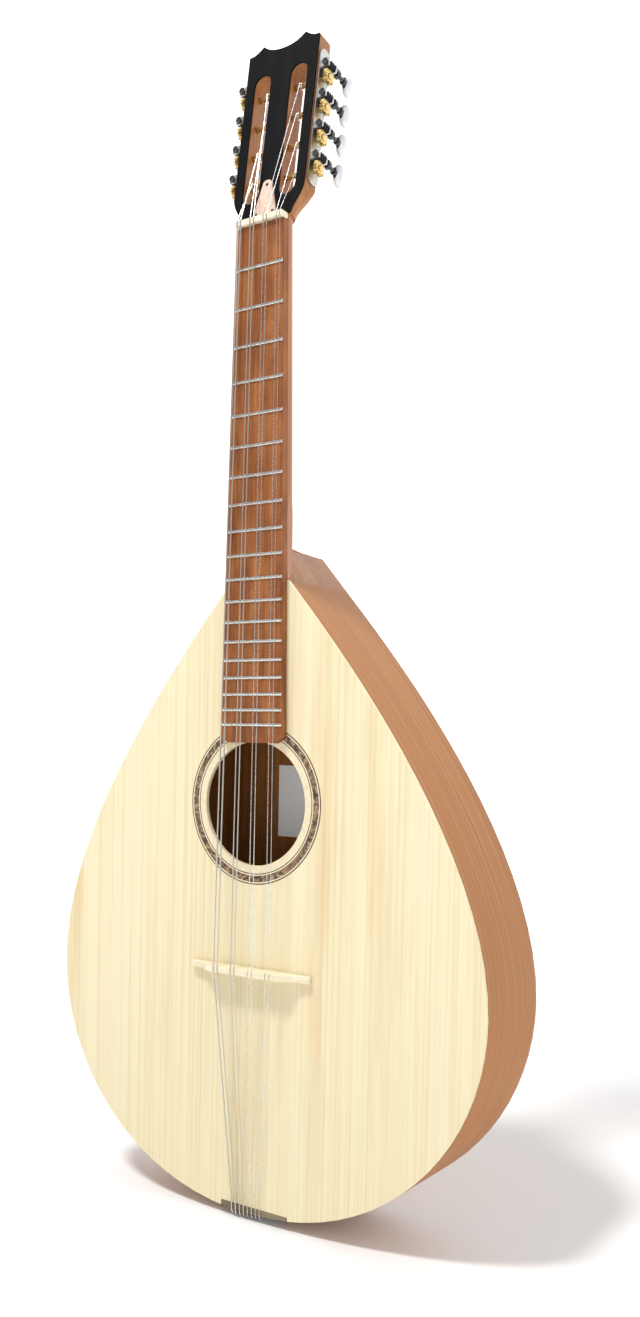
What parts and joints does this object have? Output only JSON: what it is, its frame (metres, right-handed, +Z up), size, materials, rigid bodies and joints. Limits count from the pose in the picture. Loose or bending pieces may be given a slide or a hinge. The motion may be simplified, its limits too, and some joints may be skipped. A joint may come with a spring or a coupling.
{
  "type": "mandola",
  "caption": "Acoustic mandola with a flat teardrop body, round soundhole, fretted neck, slotted head with side tuning machines, free-standing bridge and paired strings hooked at the tail.",
  "frame": {"origin": "under the middle of the instrument, level with the lowest hooks of the tailpiece", "axes": "+Z up the neck from the tail to the head, +Y from the soundboard to the back, +X to the treble side"},
  "size_m": [0.381, 0.0895, 0.8591],
  "materials": {
    "spruce_top": "satin lacquer over fine straight grain",
    "brace_spruce": "raw",
    "mahogany_back": "satin lacquer",
    "mahogany_sides": "satin lacquer",
    "mahogany_neck": "satin lacquer",
    "fretboard_wood": "oiled, blotchy grain",
    "maple_bridge": "satin",
    "dark_wood": "satin",
    "black_veneer": "matte black lacquer",
    "bone": "polished bone",
    "cover_plastic": "satin",
    "fret_wire": "polished nickel silver",
    "nickel_plate": "nickel plated",
    "brass_gear": "polished",
    "pearl_button": "pearl",
    "wound_string": "bronze wound",
    "plain_string": "bright"
  },
  "bodies": {
    "instrument": {"soundboard": "spruce_top", "back_plate": "mahogany_back", "rib_bass": "mahogany_sides", "rib_treble": "mahogany_sides", "tail_block": "brace_spruce", "top_brace_upper": "brace_spruce", "top_brace_lower": "brace_spruce", "tail_saddle": "dark_wood", "tailpiece": "nickel_plate", "neck": "mahogany_neck", "head_veneer": "black_veneer", "truss_rod_cover": "cover_plastic", "fretboard": "fretboard_wood", "nut": "bone", "bridge": "maple_bridge", "tuner_plate_bass": "nickel_plate", "tuner_plate_treble": "nickel_plate", "fret_01": "fret_wire", "fret_02": "fret_wire", "fret_03": "fret_wire", "fret_04": "fret_wire", "fret_05": "fret_wire", "fret_06": "fret_wire", "fret_07": "fret_wire", "fret_08": "fret_wire", "fret_09": "fret_wire", "fret_10": "fret_wire", "fret_11": "fret_wire", "fret_12": "fret_wire", "fret_13": "fret_wire", "fret_14": "fret_wire", "fret_15": "fret_wire", "fret_16": "fret_wire", "fret_17": "fret_wire", "fret_18": "fret_wire", "fret_19": "fret_wire", "string_g_1": "wound_string", "string_g_2": "wound_string", "string_d_1": "wound_string", "string_d_2": "wound_string", "string_a_1": "plain_string", "string_a_2": "plain_string", "string_e_1": "plain_string", "string_e_2": "plain_string"},
    "shaft_bass_1": {"tuner_shaft_bass_1": "pearl_button"},
    "winder_bass_1": {"roller_bass_1": "brass_gear"},
    "shaft_bass_2": {"tuner_shaft_bass_2": "pearl_button"},
    "winder_bass_2": {"roller_bass_2": "brass_gear"},
    "shaft_bass_3": {"tuner_shaft_bass_3": "pearl_button"},
    "winder_bass_3": {"roller_bass_3": "brass_gear"},
    "shaft_bass_4": {"tuner_shaft_bass_4": "pearl_button"},
    "winder_bass_4": {"roller_bass_4": "brass_gear"},
    "shaft_treble_1": {"tuner_shaft_treble_1": "pearl_button"},
    "winder_treble_1": {"roller_treble_1": "brass_gear"},
    "shaft_treble_2": {"tuner_shaft_treble_2": "pearl_button"},
    "winder_treble_2": {"roller_treble_2": "brass_gear"},
    "shaft_treble_3": {"tuner_shaft_treble_3": "pearl_button"},
    "winder_treble_3": {"roller_treble_3": "brass_gear"},
    "shaft_treble_4": {"tuner_shaft_treble_4": "pearl_button"},
    "winder_treble_4": {"roller_treble_4": "brass_gear"}
  },
  "joints": [
    {"name": "button_turn_bass_1", "type": "hinge", "parent": "instrument", "child": "shaft_bass_1", "pos_m": [-0.0374, -0.01885, 0.76264], "axis": [0, 0.9903, -0.1392], "continuous": true},
    {"name": "roller_turn_bass_1", "type": "hinge", "parent": "instrument", "child": "winder_bass_1", "pos_m": [0, -0.01999, 0.75452], "axis": [1, 0, 0], "continuous": true},
    {"name": "button_turn_bass_2", "type": "hinge", "parent": "instrument", "child": "shaft_bass_2", "pos_m": [-0.0374, -0.01565, 0.78541], "axis": [0, 0.9903, -0.1392], "continuous": true},
    {"name": "roller_turn_bass_2", "type": "hinge", "parent": "instrument", "child": "winder_bass_2", "pos_m": [0, -0.01679, 0.77729], "axis": [1, 0, 0], "continuous": true},
    {"name": "button_turn_bass_3", "type": "hinge", "parent": "instrument", "child": "shaft_bass_3", "pos_m": [-0.0374, -0.01245, 0.80819], "axis": [0, 0.9903, -0.1392], "continuous": true},
    {"name": "roller_turn_bass_3", "type": "hinge", "parent": "instrument", "child": "winder_bass_3", "pos_m": [0, -0.01359, 0.80007], "axis": [1, 0, 0], "continuous": true},
    {"name": "button_turn_bass_4", "type": "hinge", "parent": "instrument", "child": "shaft_bass_4", "pos_m": [-0.0374, -0.00924, 0.83096], "axis": [0, 0.9903, -0.1392], "continuous": true},
    {"name": "roller_turn_bass_4", "type": "hinge", "parent": "instrument", "child": "winder_bass_4", "pos_m": [0, -0.01039, 0.82285], "axis": [1, 0, 0], "continuous": true},
    {"name": "button_turn_treble_1", "type": "hinge", "parent": "instrument", "child": "shaft_treble_1", "pos_m": [0.0374, -0.01885, 0.76264], "axis": [0, 0.9903, -0.1392], "continuous": true},
    {"name": "roller_turn_treble_1", "type": "hinge", "parent": "instrument", "child": "winder_treble_1", "pos_m": [0, -0.01999, 0.75452], "axis": [1, 0, 0], "continuous": true},
    {"name": "button_turn_treble_2", "type": "hinge", "parent": "instrument", "child": "shaft_treble_2", "pos_m": [0.0374, -0.01565, 0.78541], "axis": [0, 0.9903, -0.1392], "continuous": true},
    {"name": "roller_turn_treble_2", "type": "hinge", "parent": "instrument", "child": "winder_treble_2", "pos_m": [0, -0.01679, 0.77729], "axis": [1, 0, 0], "continuous": true},
    {"name": "button_turn_treble_3", "type": "hinge", "parent": "instrument", "child": "shaft_treble_3", "pos_m": [0.0374, -0.01245, 0.80819], "axis": [0, 0.9903, -0.1392], "continuous": true},
    {"name": "roller_turn_treble_3", "type": "hinge", "parent": "instrument", "child": "winder_treble_3", "pos_m": [0, -0.01359, 0.80007], "axis": [1, 0, 0], "continuous": true},
    {"name": "button_turn_treble_4", "type": "hinge", "parent": "instrument", "child": "shaft_treble_4", "pos_m": [0.0374, -0.00924, 0.83096], "axis": [0, 0.9903, -0.1392], "continuous": true},
    {"name": "roller_turn_treble_4", "type": "hinge", "parent": "instrument", "child": "winder_treble_4", "pos_m": [0, -0.01039, 0.82285], "axis": [1, 0, 0], "continuous": true}
  ],
  "couplings": [
    {"joint": "roller_turn_bass_1", "follows": "button_turn_bass_1", "ratio": 0.071429},
    {"joint": "roller_turn_bass_2", "follows": "button_turn_bass_2", "ratio": 0.071429},
    {"joint": "roller_turn_bass_3", "follows": "button_turn_bass_3", "ratio": 0.071429},
    {"joint": "roller_turn_bass_4", "follows": "button_turn_bass_4", "ratio": 0.071429},
    {"joint": "roller_turn_treble_1", "follows": "button_turn_treble_1", "ratio": 0.071429},
    {"joint": "roller_turn_treble_2", "follows": "button_turn_treble_2", "ratio": 0.071429},
    {"joint": "roller_turn_treble_3", "follows": "button_turn_treble_3", "ratio": 0.071429},
    {"joint": "roller_turn_treble_4", "follows": "button_turn_treble_4", "ratio": 0.071429}
  ]
}
